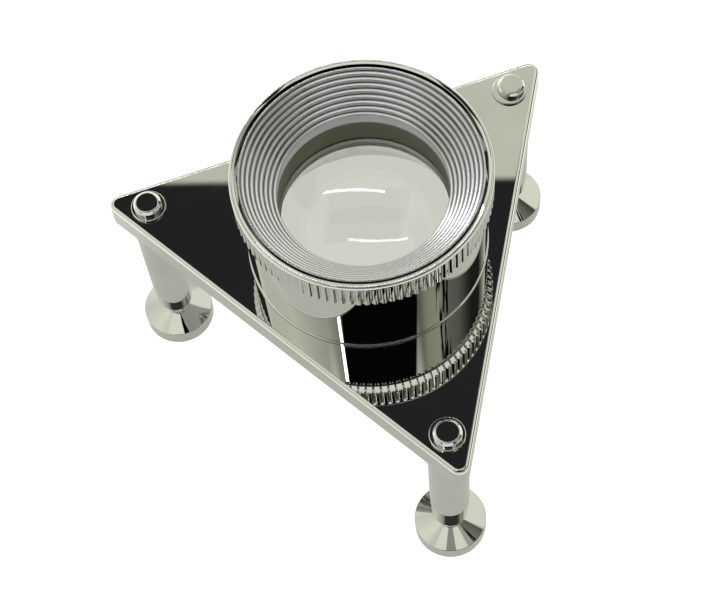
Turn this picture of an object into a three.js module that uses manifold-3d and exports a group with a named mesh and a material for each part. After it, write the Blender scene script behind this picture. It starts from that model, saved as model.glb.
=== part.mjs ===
// Three-legged viewing loupe: a lens in a focusing barrel, on a triangular plate with three turned legs.
// Millimetres, +Z up. The origin is the centre of the footprint, on the surface the feet stand on.
import * as THREE from 'three';
import { mergeVertices } from 'three/addons/utils/BufferGeometryUtils.js';
import Module from 'manifold-3d';

const wasm = await Module();
wasm.setup();

// ---- driving dimensions -------------------------------------------------------------------------
const FIT = 0.3;                // gap left between pieces that are screwed, pressed or slid together
const SHIM = 0.1;               // gap left in a thin stack that is clamped flat

const PLATE_TOP = 40.8;         // height of the plate's top face above the table
const PLATE_THICK = 5.4;
const PLATE_INRADIUS = 23.5;    // lens axis to the middle of each side
const PLATE_CORNER_R = 1.8;     // plan radius of each corner
const PLATE_EDGE_R = 0.8;       // rounding of the top and bottom edges
const BEVEL = 0.2;              // broken edge of the barrel's shoulder
const LEG_CIRCLE_R = 38.4;      // lens axis to each leg
const LEG_ANGLES = { near: -90, right: 30, left: 150 };

const POST_R = 3.45;
const POST_TAPER_R = 3.15;
const POST_END_R = 2.4;
const POST_TAPER_TOP = -27.5;   // heights below are measured from the plate's top face
const POST_SHOULDER = -33.2;
const POST_BEAD = 0.2;          // how far the post narrows at the small bead under its shoulder
const POST_BEAD_H = 0.7;
const POST_BOTTOM = -34.5;
const POST_HOLE_DEPTH = 9.3;
const STUD_R = 1.5;
const STUD_LENGTH = 5.4;
const FOOT_NECK_R = 2.2;
const FOOT_NECK_BOTTOM = -36.1;
const FOOT_R = 6.35;
const FOOT_CONE_BOTTOM = -37.5;
const FOOT_BASE_R = 6.3;

const WASHER_R = 3.0;
const WASHER_HOLE_R = 1.9;
const WASHER_THICK = 0.35;
const WASHER_OFFSET = { near: 0.15, right: 0.5, left: 0.1 };   // how far each washer sits off centre
const RIVET_SHANK_R = 1.25;
const RIVET_HEAD_R = 2.4;
const RIVET_FLAT_R = 1.95;
const RIVET_HEAD_H = 1.15;
const RIVET_SIDE_H = 0.65;      // upright part of the head's edge
const RIVET_SHANK_BOTTOM = -14.5;

const BARREL_R = 20.15;
const BARREL_SHOULDER = 15.8;   // the focusing ring runs on this shoulder
const COLLAR_R = 20.33;
const COLLAR_H = 0.5;
const COLLAR_BEVEL = 0.1;
const NECK_R = 19.45;
const NECK_TOP = 19.1;
const GUIDE_BORE_R = 18.1;      // bore that the lens carrier slides in
const STOP_HEIGHT = 1.0;        // top of the shoulder that stops the carrier
const SPIGOT_R = 18.4;
const SPIGOT_BORE_R = 16.2;
const SPIGOT_BOTTOM = -8.2;
const NUT_R = 21.6;
const NUT_BOTTOM = -8.0;
const NUT_BEVEL = 0.4;
const NUT_NOTCHES = 4;
const NUT_NOTCH_WIDTH = 3.0;
const NUT_NOTCH_DEPTH = 1.1;

const RING_R = 21.15;
const RING_BORE_R = 19.75;      // bore that runs on the barrel's neck
const RING_MOUTH_R = 20.2;      // wider bore above it, round the eye cone's head
const RING_STEP = 19.3;         // height where the two bores meet
const RING_TOP = 22.6;
const RING_CHAMFER = 0.9;       // at the ring's lower edge
const RIM_BEVEL = 0.35;         // at both edges of the ring's top face
const KNURL_COUNT = 98;
const KNURL_START = 1.0;        // degrees
const KNURL_SLOT_WIDTH = 0.52;
const KNURL_SLOT_DEPTH = 0.34;
const KNURL_TOP = 21.85;
const CLIP_GROOVE = { bottom: 17.6, top: 18.7, neckR: 18.95, ringR: 20.35 };
const CLIP_THICK = 0.5;
const CLIP_GAP_ANGLE = 16;      // degrees missing from the spring wire ring
const PAST = 1.0;               // how far a cutting shape reaches past the faces it opens

const CARRIER_R = 17.8;
const HEAD_R = 19.75;           // wide head of the eye cone, inside the focusing ring
const HEAD_BOTTOM = 19.6;
const HEAD_TOP = 22.25;
const CONE_MOUTH_R = 19.45;
const LIP_R = 14.0;
const LIP_HEIGHT = 16.75;
const CONE_GROOVES = 8;
const CONE_GROOVE_DEPTH = 0.32;
const CONE_BORE_R = 14.3;       // lower end of the bore, which opens slightly below the lip
const CONE_SLEEVE_BOTTOM = 13.8;
const CONE_TUBE_R = 15.2;
const CONE_TUBE_BOTTOM = 9.0;
const CELL_BORE_R = 15.5;
const CELL_TOP = 13.5;
const CELL_BOTTOM = 1.3;
const SEAT_R = 14.1;
const SEAT_HEIGHT = 4.4;

const LENS_R = 15.0;
const LENS_TOP_SPHERE = 45.0;   // radius of curvature of each face
const LENS_UNDER_SPHERE = 130.0;
const LENS_EDGE_BOTTOM = 4.8;
const LENS_EDGE_TOP = 7.6;
const RETAINER_R = 15.2;
const RETAINER_HOLE_R = 14.0;
const RETAINER_BOTTOM = 8.25;
const RETAINER_TOP = 8.7;
const RETAINER_EDGE = 0.15;     // upright part of the retainer's inner edge

const KEY = { width: 2.0, inner: 17.2, outer: 18.7, bottom: 5.3, top: 9.7 };

const deg = THREE.MathUtils.degToRad;
// The plate's near corner and the two far feet are the ends of the footprint, front to back.
const NEAR_REACH = 2 * (PLATE_INRADIUS - PLATE_CORNER_R) + PLATE_CORNER_R;
const FAR_REACH = LEG_CIRCLE_R * Math.sin(deg(LEG_ANGLES.right)) + FOOT_R;
const LENS_Y = (NEAR_REACH - FAR_REACH) / 2;

// ---- finishes -----------------------------------------------------------------------------------
const finish = (color, roughness, metalness) =>
  new THREE.MeshStandardMaterial({ color, roughness, metalness });
const chrome = () => finish(0xd8d8d2, 0.06, 1);
const satinMetal = () => finish(0xa9a6ac, 0.3, 1);
const springSteel = () => finish(0x8a8c8e, 0.35, 1);
const opticalGlass = () => finish(0xe6eee6, 0.02, 0);

// ---- geometry helpers ---------------------------------------------------------------------------
// Leaves position only, joins shared vertices, drops triangles with no area and faces the shell out.
function closedShell(geometry) {
  geometry.deleteAttribute('normal');
  geometry.deleteAttribute('uv');
  const merged = mergeVertices(geometry, 1e-4);
  const source = merged.index.array;
  const position = merged.getAttribute('position');
  const corner = (i) => new THREE.Vector3().fromBufferAttribute(position, i);
  const kept = [];
  let volume = 0;
  for (let i = 0; i < source.length; i += 3) {
    const [a, b, c] = [source[i], source[i + 1], source[i + 2]];
    if (a === b || b === c || c === a) continue;
    kept.push([a, b, c]);
    volume += corner(a).dot(corner(b).cross(corner(c)));
  }
  const facing = volume < 0 ? kept.map(([a, b, c]) => [a, c, b]) : kept;
  merged.setIndex(facing.flat());
  return merged;
}

// Turns a closed outline of [radius, height] points about Z.
function revolve(outline, segments) {
  const onAxis = outline[0][0] === 0;
  const loop = onAxis ? outline : [...outline, outline[0]];
  const points = loop.map(([r, z]) => new THREE.Vector2(r, z));
  return closedShell(new THREE.LatheGeometry(points, segments).rotateX(Math.PI / 2));
}

function toSolid(geometry) {
  return new wasm.Manifold(new wasm.Mesh({
    numProp: 3,
    vertProperties: new Float32Array(geometry.getAttribute('position').array),
    triVerts: new Uint32Array(geometry.index.array),
  }));
}

function fromSolid(solid) {
  const mesh = solid.getMesh();
  const geometry = new THREE.BufferGeometry();
  geometry.setAttribute('position', new THREE.BufferAttribute(new Float32Array(mesh.vertProperties), 3));
  geometry.setIndex(new THREE.BufferAttribute(new Uint32Array(mesh.triVerts), 1));
  return geometry;
}

function cut(geometry, tools) {
  let solid = toSolid(geometry);
  for (const tool of tools) solid = solid.subtract(toSolid(closedShell(tool)));
  return fromSolid(solid);
}

// A box between two heights that reaches from one radius to another, at an angle about Z.
function radialBox(width, inner, outer, bottom, top, angle) {
  const box = new THREE.BoxGeometry(outer - inner, width, top - bottom);
  box.translate((inner + outer) / 2, 0, (bottom + top) / 2);
  return box.rotateZ(angle);
}

function uprightCylinder(radius, bottom, top, segments, x = 0, y = 0) {
  const cylinder = new THREE.CylinderGeometry(radius, radius, top - bottom, segments);
  return cylinder.rotateX(Math.PI / 2).translate(x, y, (bottom + top) / 2);
}

// ---- the stand ----------------------------------------------------------------------------------
function legPlace(side) {
  const angle = deg(LEG_ANGLES[side]);
  return [LEG_CIRCLE_R * Math.cos(angle), LEG_CIRCLE_R * Math.sin(angle)];
}

// An equilateral outline with round corners, extruded with rounded edges, then bored.
function plateGeometry() {
  const cornerReach = 2 * (PLATE_INRADIUS - PLATE_CORNER_R);
  const outline = new THREE.Shape();
  for (const side of ['near', 'right', 'left']) {
    const angle = deg(LEG_ANGLES[side]);
    const x = cornerReach * Math.cos(angle);
    const y = cornerReach * Math.sin(angle);
    outline.absarc(x, y, PLATE_CORNER_R, angle - Math.PI / 3, angle + Math.PI / 3, false);
  }
  outline.closePath();
  const slab = new THREE.ExtrudeGeometry(outline, {
    depth: PLATE_THICK - 2 * PLATE_EDGE_R,
    bevelThickness: PLATE_EDGE_R,
    bevelSize: PLATE_EDGE_R,
    bevelOffset: -PLATE_EDGE_R,
    bevelSegments: 3,
    curveSegments: 6,
  }).translate(0, 0, PLATE_EDGE_R - PLATE_THICK);
  const [low, high] = [-PLATE_THICK - PAST, PAST];
  const bores = [uprightCylinder(SPIGOT_R + FIT, low, high, 48)];
  for (const side of Object.keys(LEG_ANGLES)) {
    bores.push(uprightCylinder(RIVET_SHANK_R + FIT, low, high, 16, ...legPlace(side)));
  }
  return cut(closedShell(slab), bores);
}

function postGeometry() {
  const top = -PLATE_THICK - FIT;
  return revolve([
    [0, top - POST_HOLE_DEPTH],
    [RIVET_SHANK_R + FIT, top - POST_HOLE_DEPTH],
    [RIVET_SHANK_R + FIT, top],
    [POST_R, top],
    [POST_R, POST_TAPER_TOP],
    [POST_TAPER_R, POST_SHOULDER],
    [POST_TAPER_R - POST_BEAD, POST_SHOULDER - POST_BEAD_H],
    [POST_END_R, POST_BOTTOM],
    [STUD_R + FIT, POST_BOTTOM],
    [STUD_R + FIT, POST_BOTTOM + STUD_LENGTH],
    [0, POST_BOTTOM + STUD_LENGTH],
  ], 24);
}

function footGeometry() {
  const neckTop = POST_BOTTOM - FIT;
  return revolve([
    [0, neckTop + STUD_LENGTH],
    [STUD_R, neckTop + STUD_LENGTH],
    [STUD_R, neckTop],
    [FOOT_NECK_R, neckTop],
    [FOOT_NECK_R, FOOT_NECK_BOTTOM],
    [FOOT_R, FOOT_CONE_BOTTOM],
    [FOOT_BASE_R, -PLATE_TOP],
    [0, -PLATE_TOP],
  ], 28);
}

function washerGeometry(side) {
  const angle = deg(LEG_ANGLES[side]);
  const offset = -WASHER_OFFSET[side];
  const ring = revolve([
    [WASHER_HOLE_R, SHIM],
    [WASHER_R, SHIM],
    [WASHER_R, SHIM + WASHER_THICK],
    [WASHER_HOLE_R, SHIM + WASHER_THICK],
  ], 20);
  return ring.translate(offset * Math.cos(angle), offset * Math.sin(angle), 0);
}

function rivetGeometry() {
  const seat = 2 * SHIM + WASHER_THICK;
  return revolve([
    [0, RIVET_SHANK_BOTTOM],
    [RIVET_SHANK_R, RIVET_SHANK_BOTTOM],
    [RIVET_SHANK_R, seat],
    [RIVET_HEAD_R, seat],
    [RIVET_HEAD_R, seat + RIVET_SIDE_H],
    [RIVET_FLAT_R, seat + RIVET_HEAD_H],
    [0, seat + RIVET_HEAD_H],
  ], 16);
}

// ---- the barrel and what holds it ---------------------------------------------------------------
function barrelGeometry() {
  const tube = revolve([
    [SPIGOT_R, SPIGOT_BOTTOM],
    [SPIGOT_R, SHIM],
    [COLLAR_R, SHIM],
    [COLLAR_R, COLLAR_H - COLLAR_BEVEL],
    [BARREL_R, COLLAR_H],
    [BARREL_R, BARREL_SHOULDER - BEVEL],
    [BARREL_R - BEVEL, BARREL_SHOULDER],
    [NECK_R, BARREL_SHOULDER],
    [NECK_R, CLIP_GROOVE.bottom],
    [CLIP_GROOVE.neckR, CLIP_GROOVE.bottom],
    [CLIP_GROOVE.neckR, CLIP_GROOVE.top],
    [NECK_R, CLIP_GROOVE.top],
    [NECK_R, NECK_TOP],
    [GUIDE_BORE_R, NECK_TOP],
    [GUIDE_BORE_R, STOP_HEIGHT],
    [SPIGOT_BORE_R, STOP_HEIGHT],
    [SPIGOT_BORE_R, SPIGOT_BOTTOM],
  ], 48);
  const reach = KEY.outer + FIT;
  const top = NECK_TOP + PAST;
  const keyway = radialBox(KEY.width + 2 * FIT, KEY.inner, reach, STOP_HEIGHT, top, Math.PI / 2);
  return cut(tube, [keyway]);
}

function nutGeometry() {
  const ring = revolve([
    [SPIGOT_R + FIT, NUT_BOTTOM],
    [NUT_R - NUT_BEVEL, NUT_BOTTOM],
    [NUT_R, NUT_BOTTOM + NUT_BEVEL],
    [NUT_R, -PLATE_THICK - FIT],
    [SPIGOT_R + FIT, -PLATE_THICK - FIT],
  ], 48);
  const notches = [];
  for (let i = 0; i < NUT_NOTCHES; i += 1) {
    const angle = (i + 0.5) * 2 * Math.PI / NUT_NOTCHES;
    const floor = NUT_R - NUT_NOTCH_DEPTH;
    const bottom = NUT_BOTTOM - PAST;
    notches.push(radialBox(NUT_NOTCH_WIDTH, floor, NUT_R + PAST, bottom, -PLATE_THICK, angle));
  }
  return cut(ring, notches);
}

function clipGeometry() {
  const bottom = (CLIP_GROOVE.bottom + CLIP_GROOVE.top - CLIP_THICK) / 2;
  const top = bottom + CLIP_THICK;
  const ring = revolve([
    [CLIP_GROOVE.neckR + FIT, bottom],
    [CLIP_GROOVE.ringR - FIT, bottom],
    [CLIP_GROOVE.ringR - FIT, top],
    [CLIP_GROOVE.neckR + FIT, top],
  ], 36);
  const gap = 2 * CLIP_GROOVE.ringR * Math.sin(deg(CLIP_GAP_ANGLE / 2));
  return cut(ring, [radialBox(gap, SPIGOT_R, RING_R, bottom - PAST, top + PAST, -Math.PI / 2)]);
}

// ---- the focusing ring --------------------------------------------------------------------------
// Each land of the straight knurl is one flat, with a square slot between it and the next.
function ringGeometry() {
  const bottom = BARREL_SHOULDER + FIT;
  const body = revolve([
    [RING_BORE_R, bottom],
    [RING_R - RING_CHAMFER, bottom],
    [RING_R, bottom + RING_CHAMFER],
    [RING_R, RING_TOP - RIM_BEVEL],
    [RING_R - RIM_BEVEL, RING_TOP],
    [RING_MOUTH_R + RIM_BEVEL, RING_TOP],
    [RING_MOUTH_R, RING_TOP - RIM_BEVEL],
    [RING_MOUTH_R, RING_STEP],
    [RING_BORE_R, RING_STEP],
    [RING_BORE_R, CLIP_GROOVE.top],
    [CLIP_GROOVE.ringR, CLIP_GROOVE.top],
    [CLIP_GROOVE.ringR, CLIP_GROOVE.bottom],
    [RING_BORE_R, CLIP_GROOVE.bottom],
  ], KNURL_COUNT).rotateZ(deg(KNURL_START) + Math.PI / 2);
  const slots = [];
  for (let i = 0; i < KNURL_COUNT; i += 1) {
    const angle = deg(KNURL_START) + i * 2 * Math.PI / KNURL_COUNT;
    const floor = RING_R - KNURL_SLOT_DEPTH;
    slots.push(radialBox(KNURL_SLOT_WIDTH, floor, RING_R + PAST, bottom - PAST, KNURL_TOP, angle));
  }
  return cut(body, slots);
}

// ---- the lens carrier ---------------------------------------------------------------------------
// The mouth narrows to the lip in a row of V grooves, which keep stray light off the lens.
function eyeConeGeometry() {
  const outline = [[CONE_BORE_R, CONE_TUBE_BOTTOM]];
  const mouth = new THREE.Vector2(CONE_MOUTH_R, HEAD_TOP);
  const lip = new THREE.Vector2(LIP_R, LIP_HEIGHT);
  const along = mouth.clone().sub(lip);
  const intoWall = new THREE.Vector2(along.y, -along.x).normalize().multiplyScalar(CONE_GROOVE_DEPTH);
  for (let i = 0; i < CONE_GROOVES; i += 1) {
    const ridge = lip.clone().addScaledVector(along, i / CONE_GROOVES);
    const floor = lip.clone().addScaledVector(along, (i + 0.5) / CONE_GROOVES).add(intoWall);
    outline.push([ridge.x, ridge.y], [floor.x, floor.y]);
  }
  outline.push(
    [CONE_MOUTH_R, HEAD_TOP],
    [HEAD_R, HEAD_TOP],
    [HEAD_R, HEAD_BOTTOM],
    [CARRIER_R, HEAD_BOTTOM],
    [CARRIER_R, CONE_SLEEVE_BOTTOM],
    [CONE_TUBE_R, CONE_SLEEVE_BOTTOM],
    [CONE_TUBE_R, CONE_TUBE_BOTTOM],
  );
  return revolve(outline, 48);
}

function cellGeometry() {
  const sleeve = revolve([
    [SEAT_R, CELL_BOTTOM],
    [CARRIER_R, CELL_BOTTOM],
    [CARRIER_R, CELL_TOP],
    [CELL_BORE_R, CELL_TOP],
    [CELL_BORE_R, SEAT_HEIGHT],
    [SEAT_R, SEAT_HEIGHT],
  ], 48);
  const pocket = radialBox(
    KEY.width + 2 * FIT, KEY.inner - FIT, KEY.outer, KEY.bottom - FIT, KEY.top + FIT, Math.PI / 2,
  );
  return cut(sleeve, [pocket]);
}

function keyGeometry() {
  return closedShell(radialBox(KEY.width, KEY.inner, KEY.outer, KEY.bottom, KEY.top, Math.PI / 2));
}

// The points of one lens face from the axis to the rim; dome is +1 for the upper face, -1 for the lower.
function lensFace(sphere, rimHeight, dome) {
  const drop = (radius) => sphere - Math.sqrt(sphere ** 2 - radius ** 2);
  const steps = [0, 0.25, 0.5, 0.75, 1];
  return steps.map((s) => [s * LENS_R, rimHeight + dome * (drop(LENS_R) - drop(s * LENS_R))]);
}

function lensGeometry() {
  const under = lensFace(LENS_UNDER_SPHERE, LENS_EDGE_BOTTOM, -1);
  const over = lensFace(LENS_TOP_SPHERE, LENS_EDGE_TOP, 1).reverse();
  return revolve([...under, ...over], 48);
}

function retainerGeometry() {
  return revolve([
    [RETAINER_HOLE_R, RETAINER_BOTTOM],
    [RETAINER_R, RETAINER_BOTTOM],
    [RETAINER_R, RETAINER_TOP],
    [CONE_BORE_R, RETAINER_TOP],
    [RETAINER_HOLE_R, RETAINER_BOTTOM + RETAINER_EDGE],
  ], 48);
}

// ---- assembly -----------------------------------------------------------------------------------
const loupe = new THREE.Group();
loupe.position.set(0, LENS_Y, PLATE_TOP);

function place(parent, name, geometry, material) {
  const mesh = new THREE.Mesh(geometry, material);
  mesh.name = name;
  parent.add(mesh);
}

place(loupe, 'base_plate', plateGeometry(), chrome());
for (const side of Object.keys(LEG_ANGLES)) {
  const leg = new THREE.Group();
  leg.position.set(...legPlace(side), 0);
  place(leg, `leg_post_${side}`, postGeometry(), chrome());
  place(leg, `leg_foot_${side}`, footGeometry(), chrome());
  place(leg, `leg_washer_${side}`, washerGeometry(side), chrome());
  place(leg, `leg_rivet_${side}`, rivetGeometry(), chrome());
  loupe.add(leg);
}

place(loupe, 'barrel_tube', barrelGeometry(), chrome());
place(loupe, 'barrel_nut', nutGeometry(), satinMetal());
place(loupe, 'ring_clip', clipGeometry(), springSteel());
place(loupe, 'focus_ring', ringGeometry(), chrome());

place(loupe, 'eye_cone', eyeConeGeometry(), satinMetal());
place(loupe, 'lens_cell', cellGeometry(), satinMetal());
place(loupe, 'guide_key', keyGeometry(), springSteel());
place(loupe, 'lens', lensGeometry(), opticalGlass());
place(loupe, 'lens_retainer', retainerGeometry(), satinMetal());

export default loupe;
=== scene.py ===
"""Viewing loupe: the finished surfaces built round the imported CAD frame.

Sizes are in millimetres and heights are counted from the plate's top face, as on a workshop
drawing. Skin turns them into metres in the frame's own axes.
"""

import math

import bpy
from mathutils import Matrix, Quaternion, Vector
from mathutils.geometry import tessellate_polygon


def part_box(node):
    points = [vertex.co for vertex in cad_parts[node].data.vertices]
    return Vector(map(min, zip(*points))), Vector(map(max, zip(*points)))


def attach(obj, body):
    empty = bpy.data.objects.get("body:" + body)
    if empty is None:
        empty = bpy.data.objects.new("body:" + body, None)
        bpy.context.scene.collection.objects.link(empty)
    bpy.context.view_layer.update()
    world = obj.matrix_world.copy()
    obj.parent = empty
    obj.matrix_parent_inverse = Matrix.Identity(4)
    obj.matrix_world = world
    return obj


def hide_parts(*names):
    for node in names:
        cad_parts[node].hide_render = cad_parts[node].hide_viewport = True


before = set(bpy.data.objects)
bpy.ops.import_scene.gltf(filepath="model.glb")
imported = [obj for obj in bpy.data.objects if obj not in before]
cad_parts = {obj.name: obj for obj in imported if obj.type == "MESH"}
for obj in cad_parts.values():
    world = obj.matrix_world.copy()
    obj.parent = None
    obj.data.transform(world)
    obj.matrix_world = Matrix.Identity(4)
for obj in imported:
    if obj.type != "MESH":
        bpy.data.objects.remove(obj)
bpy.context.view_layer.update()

MM = 0.001
SIDES = {"near": -90, "right": 30, "left": 150}

plate_low, plate_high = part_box("base_plate")
barrel_low, barrel_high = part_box("barrel_tube")
PLATE_TOP = plate_high.z
PLATE_THICK = (plate_high.z - plate_low.z) / MM
AXIS_Y = (barrel_low.y + barrel_high.y) / 2
TABLE = -PLATE_TOP / MM

FIT = 0.3           # gap between pieces that are screwed or pressed together
SHIM = 0.1          # gap in a thin stack that is clamped flat
ARC_STEP = math.radians(15)


# ---- mesh helpers -------------------------------------------------------------------------------
class Skin:
    """A mesh in the making. Each face knows the normal that its surface has at each corner."""

    def __init__(self):
        self.places = []
        self.numbers = {}
        self.faces = []
        self.normals = []

    def corner(self, x, y, z):
        key = (round(x, 4), round(y, 4), round(z, 4))
        if key not in self.numbers:
            self.numbers[key] = len(self.places)
            self.places.append((x * MM, AXIS_Y + y * MM, PLATE_TOP + z * MM))
        return self.numbers[key]

    def face(self, corners, normals):
        kept = []
        for number, normal in zip(corners, normals):
            if all(number != other for other, _ in kept):
                kept.append((number, normal))
        if len(kept) < 3:
            return
        a, b, c = (Vector(self.places[number]) for number, _ in kept[:3])
        outward = sum((normal for _, normal in kept), Vector((0, 0, 0)))
        if (b - a).cross(c - a).dot(outward) < 0:
            kept.reverse()
        self.faces.append([number for number, _ in kept])
        self.normals.extend(tuple(normal) for _, normal in kept)

    def build(self, name):
        mesh = bpy.data.meshes.new(name)
        mesh.from_pydata(self.places, [], self.faces)
        mesh.shade_smooth()
        mesh.normals_split_custom_set(self.normals)
        piece = bpy.data.objects.new(name, mesh)
        bpy.context.scene.collection.objects.link(piece)
        return piece


def soften(outline, closed):
    """An outline of (radius, height[, fillet]) points as runs of (start, end, normal, normal)."""
    points = [Vector(p[:2]) for p in outline]
    fillets = [p[2] if len(p) > 2 else 0.0 for p in outline]
    count = len(points)
    area = sum(points[i - 1].cross(points[i]) for i in range(count))
    turn = 1 if area > 0 else -1
    bends = []
    for i, (point, fillet) in enumerate(zip(points, fillets)):
        if fillet == 0 or (not closed and i in (0, count - 1)):
            bends.append(([point], None))
            continue
        before = (points[i - 1] - point).normalized()
        after = (points[(i + 1) % count] - point).normalized()
        half = before.angle(after) / 2
        reach = fillet / math.tan(half)
        centre = point + (before + after).normalized() * (fillet / math.sin(half))
        start, end = point + before * reach - centre, point + after * reach - centre
        sweep = math.atan2(start.cross(end), start.dot(end))
        steps = max(2, math.ceil(abs(sweep) / ARC_STEP))
        spokes = [Matrix.Rotation(sweep * k / steps, 2) @ start for k in range(steps + 1)]
        outward = 1 if (sweep > 0) == (turn > 0) else -1
        bends.append(([centre + spoke for spoke in spokes],
                      [spoke.normalized() * outward for spoke in spokes]))
    runs = []
    for i, (arc, normals) in enumerate(bends):
        for k in range(len(arc) - 1):
            runs.append((arc[k], arc[k + 1], normals[k], normals[k + 1]))
        if closed or i < count - 1:
            start, end = arc[-1], bends[(i + 1) % count][0][0]
            along = (end - start).normalized()
            normal = Vector((along.y, -along.x)) * turn
            runs.append((start, end, normal, normal))
    return runs


def strip(skin, runs, here, there):
    """Faces between the runs at two stations, each (centre x, centre y, angle of the section)."""

    def at(point, station):
        x, y, angle = station
        return skin.corner(x + point.x * math.cos(angle), y + point.x * math.sin(angle), point.y)

    def lean(normal, station):
        angle = station[2]
        return Vector((normal.x * math.cos(angle), normal.x * math.sin(angle), normal.y))

    for start, end, facing_start, facing_end in runs:
        skin.face(
            [at(start, here), at(start, there), at(end, there), at(end, here)],
            [lean(facing_start, here), lean(facing_start, there),
             lean(facing_end, there), lean(facing_end, here)])


def sweep(skin, runs, stations):
    """Carries the runs round all the stations and back to the first."""
    for i, here in enumerate(stations):
        strip(skin, runs, here, stations[(i + 1) % len(stations)])


def circle(segments, x=0.0, y=0.0):
    return [(x, y, 2 * math.pi * s / segments) for s in range(segments)]


def lathe(name, outline, segments, x=0.0, y=0.0):
    """Turns an outline about an upright axis. An outline that starts on the axis ends on it."""
    skin = Skin()
    sweep(skin, soften(outline, outline[0][0] != 0), circle(segments, x, y))
    return skin.build(name)


def leg_place(side):
    """Where a leg stands, in millimetres from the lens axis."""
    low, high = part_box(f"leg_foot_{side}")
    return ((low.x + high.x) / 2 / MM, ((low.y + high.y) / 2 - AXIS_Y) / MM)


def place_piece(piece, body, slot, material, *nodes):
    piece.data.materials.append(material)
    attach(piece, body)
    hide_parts(*nodes)
    return piece


# ---- the plate ----------------------------------------------------------------------------------
PLATE_CORNER_R = 1.8
PLATE_EDGE_R = 0.8
CORNER_STEPS = 16
PLATE_BORE_SEGMENTS = 128
RIVET_HOLE_SEGMENTS = 32
SPIGOT_R = 18.4
RIVET_SHANK_R = 1.25


def plate():
    """A rounded triangle with rounded edges, bored for the barrel's spigot and the three rivets."""
    skin = Skin()
    corner_circle = (plate_high.x / MM - PLATE_CORNER_R) / math.cos(math.radians(30))
    stations = []
    for middle in SIDES.values():
        x = corner_circle * math.cos(math.radians(middle))
        y = corner_circle * math.sin(math.radians(middle))
        stations += [(x, y, math.radians(middle - 60 + 120 * k / CORNER_STEPS))
                     for k in range(CORNER_STEPS + 1)]
    flat_r = PLATE_CORNER_R - PLATE_EDGE_R
    outline = [(flat_r, -PLATE_THICK), (PLATE_CORNER_R, -PLATE_THICK, PLATE_EDGE_R),
               (PLATE_CORNER_R, 0, PLATE_EDGE_R), (flat_r, 0)]
    runs = [run for run in soften(outline, False) if (run[1] - run[0]).length > MM]
    sweep(skin, runs, stations)

    bores = [circle(PLATE_BORE_SEGMENTS)]
    bores += [circle(RIVET_HOLE_SEGMENTS, *leg_place(side)) for side in SIDES]
    radii = [SPIGOT_R + FIT] + [RIVET_SHANK_R + FIT] * len(SIDES)
    inward = Vector((-1, 0))
    for bore, radius in zip(bores, radii):
        wall = (Vector((radius, 0)), Vector((radius, -PLATE_THICK)), inward, inward)
        sweep(skin, [wall], bore)
    for height, up in ((0, 1), (-PLATE_THICK, -1)):
        loops = [[(x + radius * math.cos(angle), y + radius * math.sin(angle), height)
                  for x, y, angle in edge]
                 for edge, radius in zip([stations] + bores, [flat_r] + radii)]
        corners = [skin.corner(*point) for loop in loops for point in loop]
        facing = [Vector((0, 0, up))] * 3
        for triangle in tessellate_polygon([[Vector(p) for p in loop] for loop in loops]):
            skin.face([corners[i] for i in triangle], facing)
    return skin.build("plate_skin")


# ---- the legs -----------------------------------------------------------------------------------
LEG_SEGMENTS = 96
RIVET_SHANK_IN_POST = 9.3
POST_R = 3.45
POST_TAPER_TOP = -27.5
POST_TAPER_FILLET = 6
POST_SHOULDER_R = 3.15
POST_SHOULDER = -33.2
POST_WAIST_R = 2.95
POST_WAIST = -33.9
POST_BOTTOM_R = 2.4
POST_BOTTOM = -34.5
STUD_R = 1.5
STUD_LENGTH = 5.4
FOOT_NECK_R = 2.2
FOOT_NECK_BOTTOM = -36.1
FOOT_R = 6.35
FOOT_CONE_BOTTOM = -37.5
FOOT_BASE_R = 6.3


def post(side):
    x, y = leg_place(side)
    top = -PLATE_THICK - FIT
    return lathe(f"post_{side}", [
        (0, top - RIVET_SHANK_IN_POST),
        (RIVET_SHANK_R + FIT, top - RIVET_SHANK_IN_POST),
        (RIVET_SHANK_R + FIT, top),
        (POST_R, top, 0.15),
        (POST_R, POST_TAPER_TOP, POST_TAPER_FILLET),
        (POST_SHOULDER_R, POST_SHOULDER, 0.12),
        (POST_WAIST_R, POST_WAIST, 0.3),
        (POST_BOTTOM_R, POST_BOTTOM),
        (STUD_R + FIT, POST_BOTTOM),
        (STUD_R + FIT, POST_BOTTOM + STUD_LENGTH),
        (0, POST_BOTTOM + STUD_LENGTH),
    ], LEG_SEGMENTS, x, y)


def foot(side):
    x, y = leg_place(side)
    neck_top = POST_BOTTOM - FIT
    return lathe(f"foot_{side}", [
        (0, neck_top + STUD_LENGTH),
        (STUD_R, neck_top + STUD_LENGTH),
        (STUD_R, neck_top),
        (FOOT_NECK_R, neck_top),
        (FOOT_NECK_R, FOOT_NECK_BOTTOM, 0.35),
        (FOOT_R, FOOT_CONE_BOTTOM, 0.18),
        (FOOT_BASE_R, TABLE, 0.25),
        (0, TABLE),
    ], LEG_SEGMENTS, x, y)


WASHER_R = 3.0
WASHER_HOLE_R = 1.9
WASHER_THICK = 0.35
WASHER_OFFSET = {"near": 0.15, "right": 0.5, "left": 0.1}
RIVET_SHANK_BOTTOM = -14.5
RIVET_HEAD_R = 2.4
RIVET_FLAT_R = 1.95
RIVET_SIDE_H = 0.65
RIVET_HEAD_H = 1.15


def washer(side):
    """A thin washer, pulled a little off centre, towards the lens axis."""
    x, y = leg_place(side)
    pull = 1 - WASHER_OFFSET[side] / math.hypot(x, y)
    return lathe(f"washer_{side}", [
        (WASHER_HOLE_R, SHIM),
        (WASHER_R, SHIM),
        (WASHER_R, SHIM + WASHER_THICK, 0.16),
        (WASHER_HOLE_R, SHIM + WASHER_THICK, 0.05),
    ], LEG_SEGMENTS, x * pull, y * pull)


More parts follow.
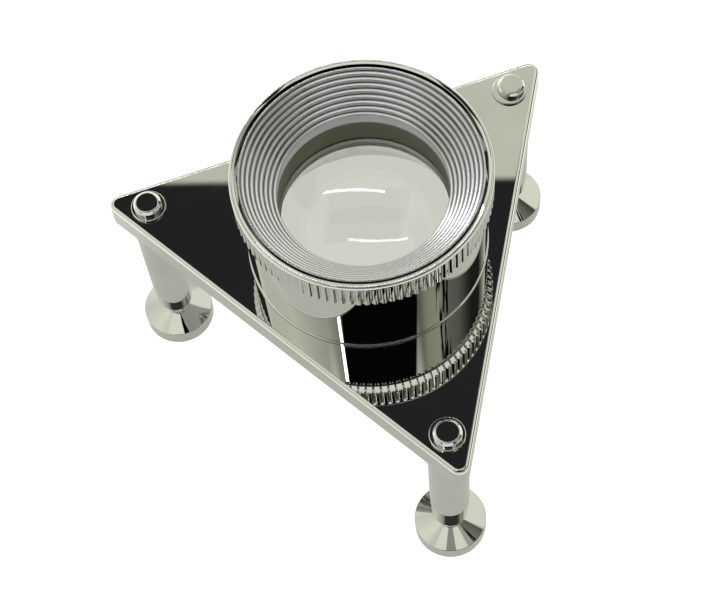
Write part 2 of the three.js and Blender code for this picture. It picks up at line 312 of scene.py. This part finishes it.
def rivet(side):
    x, y = leg_place(side)
    seat = 2 * SHIM + WASHER_THICK
    return lathe(f"rivet_{side}", [
        (0, RIVET_SHANK_BOTTOM),
        (RIVET_SHANK_R, RIVET_SHANK_BOTTOM),
        (RIVET_SHANK_R, seat),
        (RIVET_HEAD_R, seat, 0.05),
        (RIVET_HEAD_R, seat + RIVET_SIDE_H, 0.3),
        (RIVET_FLAT_R, seat + RIVET_HEAD_H, 0.35),
        (0, seat + RIVET_HEAD_H),
    ], LEG_SEGMENTS, x, y)


# ---- the barrel ---------------------------------------------------------------------------------
BARREL_SEGMENTS = 256
BARREL_R = 20.15
BARREL_SHOULDER = 15.8
COLLAR_R = 20.33
COLLAR_SIDE_TOP = 0.4
COLLAR_TOP = 0.5
NECK_R = 19.45
NECK_TOP = 19.1
GUIDE_BORE_R = 18.1
GUIDE_BORE_BOTTOM = 1.0
SPIGOT_BORE_R = 16.2
SPIGOT_BOTTOM = -8.2
CLIP_BOTTOM = 17.6
CLIP_TOP = 18.7
CLIP_GROOVE_R = 18.95


def barrel():
    return lathe("barrel_skin", [
        (SPIGOT_R, SPIGOT_BOTTOM, 0.15),
        (SPIGOT_R, SHIM),
        (COLLAR_R, SHIM, 0.04),
        (COLLAR_R, COLLAR_SIDE_TOP, 0.1),
        (BARREL_R, COLLAR_TOP, 0.05),
        (BARREL_R, BARREL_SHOULDER, 0.2),
        (NECK_R, BARREL_SHOULDER),
        (NECK_R, CLIP_BOTTOM),
        (CLIP_GROOVE_R, CLIP_BOTTOM),
        (CLIP_GROOVE_R, CLIP_TOP),
        (NECK_R, CLIP_TOP),
        (NECK_R, NECK_TOP, 0.1),
        (GUIDE_BORE_R, NECK_TOP, 0.1),
        (GUIDE_BORE_R, GUIDE_BORE_BOTTOM),
        (SPIGOT_BORE_R, GUIDE_BORE_BOTTOM, 0.1),
        (SPIGOT_BORE_R, SPIGOT_BOTTOM, 0.2),
    ], BARREL_SEGMENTS)


NUT_R = 21.6
NUT_BOTTOM = -8.0
NUT_NOTCHES = 4
NUT_NOTCH_HALF = 1.5
NUT_NOTCH_DEPTH = 1.1
NUT_SEGMENTS = 192


def nut():
    """A round nut, with notches for a pin spanner."""
    top = -PLATE_THICK - FIT
    pitch = 2 * math.pi / NUT_NOTCHES
    notch_half = math.asin(NUT_NOTCH_HALF / NUT_R)
    middles = [(notch + 0.5) * pitch for notch in range(NUT_NOTCHES)]
    turns = [2 * math.pi * s / NUT_SEGMENTS for s in range(NUT_SEGMENTS + 1)]
    for middle in middles:
        turns += [middle - notch_half, middle + notch_half]
    turns.sort()

    def section(outer_r):
        return soften([(SPIGOT_R + FIT, NUT_BOTTOM, 0.1), (outer_r, NUT_BOTTOM, 0.4),
                       (outer_r, top, 0.1), (SPIGOT_R + FIT, top, 0.1)], True)

    skin = Skin()
    full, cut = section(NUT_R), section(NUT_R - NUT_NOTCH_DEPTH)
    for turn, after in zip(turns, turns[1:]):
        notched = any(abs((turn + after) / 2 - middle) < notch_half for middle in middles)
        strip(skin, cut if notched else full, (0, 0, turn), (0, 0, after))
    for middle in middles:
        for edge, sign in ((middle - notch_half, 1), (middle + notch_half, -1)):
            facing = Vector((-math.sin(edge), math.cos(edge), 0)) * sign
            for (a, b, _, _), (c, d, _, _) in zip(full, cut):
                corners = [skin.corner(p.x * math.cos(edge), p.x * math.sin(edge), p.y)
                           for p in (a, b, d, c)]
                skin.face(corners, [facing] * 4)
    return skin.build("nut_skin")


# ---- the focusing ring --------------------------------------------------------------------------
RING_R = 21.15
RING_BORE_R = 19.75
RING_MOUTH_R = 20.2
RING_BOTTOM = BARREL_SHOULDER + FIT
RING_CHAMFER = 0.9
RING_STEP = 19.3
RING_TOP = 22.6
RING_RIM_R = 0.45
RING_CLIP_R = 20.35
KNURL_COUNT = 98
KNURL_START = math.radians(1.0)
KNURL_SLOT = 0.26
KNURL_POWER = 4         # how square the flutes are
KNURL_STEPS = 8
KNURL_DEPTH = 0.34
KNURL_TOP = 21.85
RING_SHARP = math.radians(35)


def focus_ring():
    """Straight knurl: round flutes, with a broad crest between each two.

    An outline point is (radius, height, how deep the flutes are there, from 0 to 1). The flutes
    run out just under the smooth rim.
    """
    pitch = 2 * math.pi / KNURL_COUNT
    half = pitch * RING_R / 2
    across = []
    for step in range(-KNURL_STEPS, KNURL_STEPS):
        offset = half * step / KNURL_STEPS
        away = abs(offset) / KNURL_SLOT
        across.append((offset, 1 / (1 + away ** KNURL_POWER)))
    columns = [(KNURL_START + tooth * pitch + offset / RING_R, depth)
               for tooth in range(KNURL_COUNT) for offset, depth in across]
    chamfer_top = RING_BOTTOM + RING_CHAMFER
    knurled = [(RING_R - RING_CHAMFER, RING_BOTTOM, 1), (RING_R - 0.05, chamfer_top - 0.05, 1),
               (RING_R, chamfer_top + 0.05, 1), (RING_R, KNURL_TOP - 0.35, 1),
               (RING_R, KNURL_TOP - 0.15, 0.75), (RING_R, KNURL_TOP - 0.02, 0.15)]
    smooth = [(RING_R, KNURL_TOP + 0.06)]
    for turn in range(0, 91, 10):
        angle = math.radians(turn)
        smooth.append((RING_R - RING_RIM_R + RING_RIM_R * math.cos(angle),
                       RING_TOP - RING_RIM_R + RING_RIM_R * math.sin(angle)))
    smooth += [(RING_MOUTH_R + 0.4, RING_TOP - 0.02), (RING_MOUTH_R + 0.06, RING_TOP - 0.1),
               (RING_MOUTH_R, RING_TOP - 0.17), (RING_MOUTH_R, RING_STEP),
               (RING_BORE_R, RING_STEP), (RING_BORE_R, CLIP_TOP),
               (RING_CLIP_R, CLIP_TOP), (RING_CLIP_R, CLIP_BOTTOM),
               (RING_BORE_R, CLIP_BOTTOM), (RING_BORE_R, RING_BOTTOM)]
    rows = knurled + [(r, z, 0.0) for r, z in smooth]
    places, faces = [], []
    for angle, depth in columns:
        for radius, height, opening in rows:
            r = min(radius, RING_R - KNURL_DEPTH * depth * opening)
            places.append((r * math.cos(angle) * MM, AXIS_Y + r * math.sin(angle) * MM,
                           PLATE_TOP + height * MM))
    high = len(rows)
    for c in range(len(columns)):
        here, there = c * high, ((c + 1) % len(columns)) * high
        for k in range(high):
            n = (k + 1) % high
            faces.append((here + k, there + k, there + n, here + n))
    mesh = bpy.data.meshes.new("ring_skin")
    mesh.from_pydata(places, [], faces)
    mesh.shade_smooth()
    mesh.set_sharp_from_angle(angle=RING_SHARP)
    piece = bpy.data.objects.new("ring_skin", mesh)
    bpy.context.scene.collection.objects.link(piece)
    weighted = piece.modifiers.new("even_shading", "WEIGHTED_NORMAL")
    weighted.keep_sharp = True
    return piece


# ---- the lens carrier ---------------------------------------------------------------------------
CARRIER_R = 17.8
HEAD_R = 19.75
HEAD_BOTTOM = 19.6
HEAD_TOP = 22.25
MOUTH_R = 19.45
LIP_R = 14.0
BORE_R = 14.3
LIP_HEIGHT = 16.75
CONE_BEADS = 8
BEAD_DEPTH = 0.32
CONE_TUBE_R = 15.2
CONE_TUBE_BOTTOM = 9.0
SLEEVE_BOTTOM = 13.8


def eye_cone():
    """The mouth narrows in a row of round beads, with a sharp groove between each two."""
    mouth, lip = Vector((MOUTH_R, HEAD_TOP)), Vector((LIP_R, LIP_HEIGHT))
    along = mouth - lip
    into_wall = Vector((along.y, -along.x)).normalized() * BEAD_DEPTH
    beads = []
    for bead in range(CONE_BEADS):
        crest = lip + along * (bead / CONE_BEADS)
        groove = lip + along * ((bead + 0.5) / CONE_BEADS) + into_wall
        beads.append((*crest, 0.25))
        beads.append((*groove, 0.03))
    return lathe("eye_cone_skin", [
        (BORE_R, CONE_TUBE_BOTTOM, 0.1),
        *beads,
        (MOUTH_R, HEAD_TOP, 0.12),
        (HEAD_R, HEAD_TOP, 0.1),
        (HEAD_R, HEAD_BOTTOM, 0.1),
        (CARRIER_R, HEAD_BOTTOM),
        (CARRIER_R, SLEEVE_BOTTOM, 0.1),
        (CONE_TUBE_R, SLEEVE_BOTTOM),
        (CONE_TUBE_R, CONE_TUBE_BOTTOM, 0.1),
    ], BARREL_SEGMENTS)


SEAT_R = 14.1
SEAT_HEIGHT = 4.4
CELL_BORE_R = 15.5
CELL_BOTTOM = 1.3
CELL_TOP = 13.5


def lens_cell():
    return lathe("cell_skin", [
        (SEAT_R, CELL_BOTTOM, 0.2),
        (CARRIER_R, CELL_BOTTOM, 0.2),
        (CARRIER_R, CELL_TOP, 0.1),
        (CELL_BORE_R, CELL_TOP, 0.1),
        (CELL_BORE_R, SEAT_HEIGHT),
        (SEAT_R, SEAT_HEIGHT, 0.1),
    ], BARREL_SEGMENTS)


LENS_R = 15.0
LENS_TOP_SPHERE = 45.0
LENS_UNDER_SPHERE = 130.0
LENS_EDGE_BOTTOM = 4.8
LENS_EDGE_TOP = 7.6
LENS_RINGS = 40


def lens():
    """Two spherical faces and a straight ground rim."""
    skin = Skin()
    runs = []
    faces = ((LENS_UNDER_SPHERE, LENS_EDGE_BOTTOM, -1), (LENS_TOP_SPHERE, LENS_EDGE_TOP, 1))
    for sphere, height, up in faces:
        rim_drop = sphere - math.sqrt(sphere ** 2 - LENS_R ** 2)
        face = []
        for k in range(LENS_RINGS + 1):
            r = LENS_R * k / LENS_RINGS
            fall = sphere - math.sqrt(sphere ** 2 - r ** 2)
            normal = Vector((r / sphere, up * math.sqrt(1 - (r / sphere) ** 2)))
            face.append((Vector((r, height + up * (rim_drop - fall))), normal))
        runs += [(a[0], b[0], a[1], b[1]) for a, b in zip(face, face[1:])]
    sideways = Vector((1, 0))
    rim_bottom, rim_top = Vector((LENS_R, LENS_EDGE_BOTTOM)), Vector((LENS_R, LENS_EDGE_TOP))
    runs.append((rim_bottom, rim_top, sideways, sideways))
    sweep(skin, runs, circle(BARREL_SEGMENTS))
    return skin.build("lens_skin")


RETAINER_R = 15.2
RETAINER_HOLE_R = 14.0
RETAINER_BOTTOM = 8.25
RETAINER_LIP_TOP = 8.4
RETAINER_TOP = 8.7


def retainer():
    return lathe("retainer_skin", [
        (RETAINER_HOLE_R, RETAINER_BOTTOM),
        (RETAINER_R, RETAINER_BOTTOM),
        (RETAINER_R, RETAINER_TOP, 0.05),
        (BORE_R, RETAINER_TOP, 0.05),
        (RETAINER_HOLE_R, RETAINER_LIP_TOP, 0.04),
    ], BARREL_SEGMENTS)


# ---- materials ----------------------------------------------------------------------------------
CHROME = (0.66, 0.66, 0.64)
CHROME_WORN = (0.61, 0.61, 0.585)
CHROME_ROUGHNESS = 0.008
CHROME_CLOUD_SCALE = 90.0
WIPE_SCALE = 60.0
WIPE_STRETCH = (1, 14, 6)
NUT_METAL = ((0.6, 0.6, 0.59), (0.5, 0.5, 0.49))
CELL_METAL = ((0.8, 0.8, 0.78), (0.7, 0.7, 0.68))
RETAINER_METAL = ((0.55, 0.55, 0.52), (0.45, 0.45, 0.42))
SPRING_METAL = ((0.42, 0.43, 0.44), (0.34, 0.35, 0.36))
CONE_METAL = ((0.74, 0.72, 0.77), (0.65, 0.63, 0.68))
CONE_ROUGHNESS = (0.13, 0.22)
TURNED_CLOUD_SCALE = 120.0
TURNED_SPREAD = 0.1     # how much rougher the turning lines are than the metal between them
BORE_BAND = (0.86, 0.85, 0.9)
BORE_BAND_FADE = 0.1
BORE_BAND_DULLNESS = 0.4
# Painted shade at the bottom of the eye cone's grooves: its colour, where it starts and ends, and how
# strong it is.
GROOVE_PAINTED_SHADE = (0.035, 0.033, 0.03)
GROOVE_EDGES = (0.08, 0.22)     # where the painted shade starts and ends, as a share of a bead's width
GROOVE_SHARE = 0.8
# A darker olive tone low in the eye cone's bore, and the height round which it fades out.
BORE_LOW_TONE = (0.22, 0.22, 0.16)
BORE_LOW_TONE_TOP = 14.5
BORE_LOW_TONE_FADE = (-0.4, 0.1)
TURNING_SCALE = 900.0
TURNING_STRETCH = (0.03, 0.03, 3.0)
TURNING_DEPTH = 0.006
TURNING_STRENGTH = 0.5
BRUSHED = 0.3           # how much a turned surface stretches its highlights
GLASS_TINT = (0.985, 0.99, 0.98)
GLASS_INDEX = 1.52
DUST_SCALE = 700.0
DUST_ROUGHNESS = 0.05


class Graph:
    """A node tree in the making, with the few node shapes that the materials and the room share."""

    def __init__(self, owner):
        owner.use_nodes = True
        self.tree = owner.node_tree

    def node(self, kind, **settings):
        node = self.tree.nodes.new(kind)
        for key, value in settings.items():
            setattr(node, key, value)
        return node

    def link(self, source, socket):
        self.tree.links.new(source, socket)

    def split(self, place):
        node = self.node("ShaderNodeSeparateXYZ")
        self.link(place, node.inputs[0])
        return node.outputs["X"], node.outputs["Y"], node.outputs["Z"]

    def math(self, operation, first, second=0.0):
        node = self.node("ShaderNodeMath", operation=operation)
        for socket, value in zip(node.inputs, (first, second)):
            if isinstance(value, (int, float)):
                socket.default_value = value
            else:
                self.link(value, socket)
        return node.outputs[0]

    def noise(self, place, scale, detail):
        node = self.node("ShaderNodeTexNoise")
        node.inputs["Scale"].default_value = scale
        node.inputs["Detail"].default_value = detail
        self.link(place, node.inputs["Vector"])
        return node.outputs["Fac"]

    def ramp(self, value, low, high, start=0.0, end=1.0, easing="LINEAR"):
        node = self.node("ShaderNodeMapRange", interpolation_type=easing)
        for name, number in (("From Min", low), ("From Max", high), ("To Min", start), ("To Max", end)):
            node.inputs[name].default_value = number
        self.link(value, node.inputs["Value"])
        return node.outputs["Result"]

    def paint(self, under, colour, share):
        """Lays a colour over another one, or over a socket's colour, as far as share says."""
        node = self.node("ShaderNodeMix", data_type="RGBA")
        self.link(share, node.inputs["Factor"])
        if isinstance(under, tuple):
            node.inputs["A"].default_value = (*under, 1)
        else:
            self.link(under, node.inputs["A"])
        node.inputs["B"].default_value = (*colour, 1)
        return node.outputs["Result"]


class Shader(Graph):
    """A material with one principled shader."""

    def __init__(self, name):
        self.material = bpy.data.materials.new(name)
        super().__init__(self.material)
        self.surface = self.tree.nodes["Principled BSDF"]
        self.place = self.node("ShaderNodeTexCoord").outputs["Object"]

    def set(self, **sockets):
        for name, value in sockets.items():
            self.surface.inputs[name.replace("_", " ")].default_value = value

    def drive(self, name, source):
        self.link(source, self.surface.inputs[name])

    def squeezed(self, x, y, z):
        """The object's own coordinates, stretched by three factors about the lens axis."""
        node = self.node("ShaderNodeMapping")
        node.inputs["Location"].default_value = (0, -AXIS_Y * y, 0)
        node.inputs["Scale"].default_value = (x, y, z)
        self.link(self.place, node.inputs["Vector"])
        return node.outputs["Vector"]

    def groove_share(self):
        """Share of painted shade: high at the bottom of each groove of the eye cone and 0 on the beads.
        """
        x, y, z = self.split(self.place)
        y = self.math("SUBTRACT", y, AXIS_Y)
        square = self.math("ADD", self.math("MULTIPLY", x, x), self.math("MULTIPLY", y, y))
        reach = self.math("ADD", self.math("SQRT", square), z)
        start = (LIP_R + LIP_HEIGHT) * MM + PLATE_TOP
        length = (MOUTH_R + HEAD_TOP - LIP_R - LIP_HEIGHT) * MM
        turns = self.math("MULTIPLY", self.math("SUBTRACT", reach, start), CONE_BEADS / length)
        away = self.math("ABSOLUTE", self.math("SUBTRACT", self.math("FRACT", turns), 0.5))
        return self.ramp(away, *GROOVE_EDGES, GROOVE_SHARE, 0.0)

    def turning_lines(self):
        """Fine lines that run round the axis."""
        return self.noise(self.squeezed(*TURNING_STRETCH), TURNING_SCALE, 3.0)

    def bump(self, value, distance, strength):
        node = self.node("ShaderNodeBump")
        node.inputs["Distance"].default_value = distance
        node.inputs["Strength"].default_value = strength
        self.link(value, node.inputs["Height"])
        self.drive("Normal", node.outputs["Normal"])


def chrome(name, smear=0.02):
    """Bright plating: faint handling haze, a cloudy change of tone, and a few fine wipe marks."""
    shader = Shader(name)
    shader.set(Metallic=1.0)
    cloud = shader.noise(shader.place, CHROME_CLOUD_SCALE, 4.0)
    wipes = shader.noise(shader.squeezed(*WIPE_STRETCH), WIPE_SCALE, 5.0)
    shader.drive("Base Color", shader.paint(CHROME, CHROME_WORN, shader.ramp(cloud, 0.35, 0.75)))
    shader.drive("Roughness",
                 shader.ramp(wipes, 0.45, 0.85, CHROME_ROUGHNESS, CHROME_ROUGHNESS + smear))
    return shader.material


def turned_metal(name, tones, roughness):
    """Fine turning lines, and a slow change between two tones."""
    shader = Shader(name)
    shader.set(Metallic=1.0, Anisotropic=BRUSHED)
    lines = shader.turning_lines()
    cloud = shader.noise(shader.place, TURNED_CLOUD_SCALE, 3.0)
    shader.drive("Base Color", shader.paint(*tones, shader.ramp(cloud, 0.3, 0.7)))
    shader.drive("Roughness", shader.ramp(lines, 0.3, 0.7, roughness, roughness + TURNED_SPREAD))
    shader.bump(lines, TURNING_DEPTH * MM, TURNING_STRENGTH)
    return shader.material


def cone_metal():
    """Turned metal with painted shade in its grooves. Its bore has a dull light band above a darker
    olive tone low down.
    """
    shader = Shader("cone_metal")
    shader.set(Metallic=1.0, Anisotropic=BRUSHED)
    height = shader.split(shader.place)[2]
    # the bore turns darker olive towards the bottom
    fade_low, fade_high = (PLATE_TOP + (BORE_LOW_TONE_TOP + fade) * MM for fade in BORE_LOW_TONE_FADE)
    low_tone = shader.ramp(height, fade_low, fade_high, 1.0, 0.0)
    band_top = PLATE_TOP + (LIP_HEIGHT - BORE_BAND_FADE) * MM
    band = shader.ramp(height, band_top - BORE_BAND_FADE * MM, band_top, 1.0, 0.0)
    lines = shader.turning_lines()
    cloud = shader.noise(shader.place, TURNED_CLOUD_SCALE, 3.0)
    metal = shader.paint(*CONE_METAL, shader.ramp(cloud, 0.3, 0.7))
    # painted shade at the bottom of each groove
    groove_shaded = shader.paint(metal, GROOVE_PAINTED_SHADE, shader.groove_share())
    banded = shader.paint(groove_shaded, BORE_BAND, band)
    shader.drive("Base Color", shader.paint(banded, BORE_LOW_TONE, low_tone))
    turned = shader.ramp(lines, 0.3, 0.7, *CONE_ROUGHNESS)
    shader.drive("Roughness",
                 shader.math("ADD", turned, shader.math("MULTIPLY", band, BORE_BAND_DULLNESS)))
    shader.bump(lines, TURNING_DEPTH * MM, TURNING_STRENGTH)
    return shader.material


def glass(name):
    """Clear optical glass with the faintest dust haze."""
    shader = Shader(name)
    shader.set(IOR=GLASS_INDEX, Transmission_Weight=1.0, Base_Color=(*GLASS_TINT, 1))
    dust = shader.noise(shader.place, DUST_SCALE, 6.0)
    shader.drive("Roughness", shader.ramp(dust, 0.62, 0.9, 0.0, DUST_ROUGHNESS))
    return shader.material


# ---- the object ---------------------------------------------------------------------------------
plate_chrome = chrome("plate_chrome")
place_piece(plate(), "stand", "chrome_plate", plate_chrome, "base_plate")
leg_chrome = chrome("leg_chrome")
foot_chrome = chrome("foot_chrome")
fastener_chrome = chrome("fastener_chrome", smear=0.05)
for side in SIDES:
    place_piece(post(side), "stand", "chrome_leg", leg_chrome, f"leg_post_{side}")
    place_piece(foot(side), "stand", "chrome_foot", foot_chrome, f"leg_foot_{side}")
    place_piece(washer(side), "stand", "chrome_fastener", fastener_chrome, f"leg_washer_{side}")
    place_piece(rivet(side), "stand", "chrome_fastener", fastener_chrome, f"leg_rivet_{side}")
place_piece(barrel(), "stand", "chrome_barrel", chrome("barrel_chrome"), "barrel_tube")
nut_metal = turned_metal("nut_metal", NUT_METAL, 0.25)
place_piece(nut(), "stand", "turned_aluminium", nut_metal, "barrel_nut")
place_piece(focus_ring(), "ring", "chrome_ring", chrome("ring_chrome", smear=0.04), "focus_ring")
place_piece(eye_cone(), "carrier", "eye_cone_metal", cone_metal(), "eye_cone")
cell_metal = turned_metal("cell_metal", CELL_METAL, 0.2)
place_piece(lens_cell(), "carrier", "turned_aluminium", cell_metal, "lens_cell")
place_piece(lens(), "carrier", "optical_glass", glass("lens_glass"), "lens")
retainer_metal = turned_metal("retainer_metal", RETAINER_METAL, 0.3)
place_piece(retainer(), "carrier", "retainer_metal", retainer_metal, "lens_retainer")

spring_metal = turned_metal("spring_metal", SPRING_METAL, 0.3)
for node in ("ring_clip", "guide_key"):
    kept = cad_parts[node]
    kept.data.materials.clear()
    kept.data.materials.append(spring_metal)


# ---- floor, light and camera --------------------------------------------------------------------
# The floor's glow grows with the distance from the object, between FLOOR_NEAR and FLOOR_FAR metres: the
# dimmer glow near the object is a painted shadow of it.
# FLOOR_GLOW_SEEN is for the camera alone, because the photo is a cut-out on white.
FLOOR_HALF = 2.5
FLOOR_PAPER = (0.22, 0.22, 0.2)
FLOOR_LIGHT = (1.0, 1.0, 0.93)
FLOOR_GLOW_IN_PAINTED_SHADOW = 0.48
FLOOR_GLOW_FAR = 1.3
FLOOR_NEAR = 0.06
FLOOR_FAR = 0.12
FLOOR_GLOW_SEEN = 1.1


def floor():
    mesh = bpy.data.meshes.new("floor")
    h = FLOOR_HALF
    mesh.from_pydata([(-h, -h, 0), (h, -h, 0), (h, h, 0), (-h, h, 0)], [], [(0, 1, 2, 3)])
    piece = bpy.data.objects.new("floor", mesh)
    bpy.context.scene.collection.objects.link(piece)
    shader = Shader("floor_paper")
    shader.set(Roughness=0.9, Specular_IOR_Level=0.1)
    shader.set(Base_Color=(*FLOOR_PAPER, 1), Emission_Color=(*FLOOR_LIGHT, 1))
    seen = shader.node("ShaderNodeLightPath").outputs["Is Camera Ray"]
    reach = shader.node("ShaderNodeVectorMath", operation="LENGTH")
    shader.link(shader.place, reach.inputs[0])
    # painted shadow: the glow is dimmer near the object
    glow_with_painted_shadow = shader.ramp(reach.outputs["Value"], FLOOR_NEAR, FLOOR_FAR, FLOOR_GLOW_IN_PAINTED_SHADOW, FLOOR_GLOW_FAR)
    rest = shader.math("SUBTRACT", FLOOR_GLOW_SEEN, glow_with_painted_shadow)
    shader.drive("Emission Strength", shader.math("ADD", glow_with_painted_shadow, shader.math("MULTIPLY", seen, rest)))
    piece.data.materials.append(shader.material)


LOWEST_RISE = 0.02      # a direction lower than this meets the plan as if it rose this much
RIPPLE_SCALE = 28.0


class Sky(Graph):
    """The room overhead, drawn as a plan of its ceiling: a direction meets the plan at x/z, y/z."""

    def __init__(self):
        world = bpy.data.worlds.new("room")
        super().__init__(world)
        bpy.context.scene.world = world
        x, y, z = self.split(self.node("ShaderNodeTexCoord").outputs["Generated"])
        above = self.math("MAXIMUM", z, LOWEST_RISE)
        self.x = self.math("DIVIDE", x, above)
        self.y = self.math("DIVIDE", y, above)

    def panel(self, centre, heading, half_length, half_width, soft, ragged=0.0):
        """How much of a direction falls on a rectangle of the ceiling plan, from 0 to 1."""
        c, s = math.cos(math.radians(heading)), math.sin(math.radians(heading))
        dx = self.math("SUBTRACT", self.x, centre[0])
        dy = self.math("SUBTRACT", self.y, centre[1])
        along = self.math("ADD", self.math("MULTIPLY", dx, c), self.math("MULTIPLY", dy, s))
        across = self.math("SUBTRACT", self.math("MULTIPLY", dy, c), self.math("MULTIPLY", dx, s))
        sides = []
        for value, half in ((along, half_length), (across, half_width)):
            reach = self.math("ABSOLUTE", value)
            if ragged:
                reach = self.math("ADD", reach, self.ripple(ragged))
            outside = self.ramp(reach, half - soft, half + soft, easing="SMOOTHSTEP")
            sides.append(self.math("SUBTRACT", 1.0, outside))
        return self.math("MULTIPLY", *sides)

    def round_about(self, stops):
        """The walls' tone by compass bearing, counted in degrees from +X."""
        turn = self.math("ARCTAN2", self.y, self.x)
        ramp = self.node("ShaderNodeValToRGB")
        self.link(self.math("FRACT", self.math("DIVIDE", turn, 2 * math.pi)), ramp.inputs[0])
        elements = ramp.color_ramp.elements
        for end in elements:
            end.color = (*stops[0][1], 1)
        for bearing, colour in stops[1:]:
            elements.new(bearing / 360).color = (*colour, 1)
        return ramp.outputs["Color"]

    def ripple(self, size):
        """A small wandering offset, which makes the edge of a panel uneven."""
        place = self.node("ShaderNodeCombineXYZ")
        self.link(self.x, place.inputs["X"])
        self.link(self.y, place.inputs["Y"])
        wander = self.noise(place.outputs[0], RIPPLE_SCALE, 3.0)
        return self.math("MULTIPLY", self.math("SUBTRACT", wander, 0.5), size)


# ROOM_ROUND is the walls' colour by compass bearing, as (bearing, colour).
WALL_LIGHT = (0.98, 1.0, 0.86)
TUBE_LIGHT = (15.0, 15.0, 15.6)
STRIP_LIGHT = (7.0, 6.8, 7.2)
HOOD_DARK = (0.003, 0.003, 0.003)
HOOD_GREY = (0.36, 0.37, 0.34)
LOW_LIGHT = (1.0, 1.0, 1.1)
CEILING_DARK = (0.024, 0.0235, 0.025)
ROOM_ROUND = (
    (0, (0.05, 0.05, 0.045)), (8, (0.02, 0.02, 0.018)), (24, (0.02, 0.02, 0.018)),
    (30, (0.2, 0.2, 0.18)), (48, (1.0, 1.0, 0.87)), (60, (0.74, 0.76, 0.64)),
    (88, (0.74, 0.76, 0.64)), (105, (1.05, 1.08, 0.95)), (130, (0.8, 0.82, 0.72)),
    (165, (1.0, 1.03, 0.86)), (192, (0.74, 0.76, 0.68)), (206, (0.6, 0.62, 0.54)),
    (215, (0.42, 0.44, 0.38)), (224, (0.06, 0.06, 0.05)), (290, (0.06, 0.06, 0.05)),
    (300, (0.22, 0.23, 0.17)), (307, (0.42, 0.45, 0.32)), (320, (0.5, 0.52, 0.42)),
    (331, (0.22, 0.23, 0.19)), (345, (0.17, 0.175, 0.15)), (354, (0.1, 0.1, 0.09)),
)
HOOD_BEARING = 251
WINDOW_BEARING = 16
BEAM_BEARING = 326
STRIP_BEARING = 218.5


def on_plan(distance, bearing):
    """A place on the ceiling plan, by its distance from the zenith and its compass bearing."""
    turn = math.radians(bearing)
    return (distance * math.cos(turn), distance * math.sin(turn))


# What hangs in the room, painted in this order, so that each covers what it overlaps.
PANELS = {
    "low light beyond the hood": (LOW_LIGHT, dict(
        centre=on_plan(2.75, HOOD_BEARING), heading=HOOD_BEARING,
        half_length=1.0, half_width=2.0, soft=0.05)),
    "window at the right": (WALL_LIGHT, dict(
        centre=on_plan(1.6, WINDOW_BEARING), heading=WINDOW_BEARING,
        half_length=0.95, half_width=0.9, soft=0.04)),
    "light at the zenith": (WALL_LIGHT, dict(
        centre=(0, 0), heading=HOOD_BEARING, half_length=0.34, half_width=0.34, soft=0.03)),
    "grey inner side of the hood": (HOOD_GREY, dict(
        centre=on_plan(0.32, HOOD_BEARING), heading=HOOD_BEARING,
        half_length=0.1, half_width=0.1, soft=0.01)),
    "lip of the hood": (HOOD_DARK, dict(
        centre=(0.0, -0.16), heading=86, half_length=0.06, half_width=0.05, soft=0.005)),
    "dark beam": (HOOD_DARK, dict(
        centre=on_plan(0.5, BEAM_BEARING), heading=BEAM_BEARING,
        half_length=0.35, half_width=0.034, soft=0.01, ragged=0.3)),
    "hood": (HOOD_DARK, dict(
        centre=(-0.1203, -0.5309), heading=70, half_length=0.2, half_width=0.3035, soft=0.003)),
    "dark ceiling": (CEILING_DARK, dict(
        centre=(0.067, 0.417), heading=70, half_length=0.17, half_width=0.31, soft=0.003)),
    "window strip": (STRIP_LIGHT, dict(
        centre=on_plan(0.5, STRIP_BEARING), heading=38,
        half_length=0.1, half_width=0.012, soft=0.002)),
    "lamp tube": (TUBE_LIGHT, dict(
        centre=(0.11, 0.85), heading=-28, half_length=0.29, half_width=0.021, soft=0.002)),
}


def room():
    sky = Sky()
    colour = sky.round_about(ROOM_ROUND)
    for light, shape in PANELS.values():
        colour = sky.paint(colour, light, sky.panel(**shape))
    sky.link(colour, sky.tree.nodes["Background"].inputs["Color"])


CAMERA_PLACE = Vector((-0.03769, -0.13984, 0.32269))
CAMERA_HEADING = 14.414     # degrees clockwise from +Y
CAMERA_FALL = 62.644        # degrees below the horizon
CAMERA_ROLL = 5.666         # degrees
CAMERA_LENS = 95.46         # on a 36 mm wide sensor
CAMERA_SHIFT = (-0.0252, -0.0246)


def camera():
    data = bpy.data.cameras.new("camera")
    data.sensor_width = 36
    data.lens = CAMERA_LENS
    data.shift_x, data.shift_y = CAMERA_SHIFT
    data.clip_start = 0.01
    data.clip_end = 20
    view = bpy.data.objects.new("camera", data)
    bpy.context.scene.collection.objects.link(view)
    heading, fall = math.radians(CAMERA_HEADING), math.radians(CAMERA_FALL)
    level_reach = math.cos(fall)
    ahead = Vector((math.sin(heading) * level_reach, math.cos(heading) * level_reach, -math.sin(fall)))
    view.location = CAMERA_PLACE
    view.rotation_mode = "QUATERNION"
    level = ahead.to_track_quat("-Z", "Y")
    view.rotation_quaternion = Quaternion(ahead, math.radians(CAMERA_ROLL)) @ level
    bpy.context.scene.camera = view


floor()
room()
camera()
bpy.context.scene.view_settings.view_transform = "Standard"
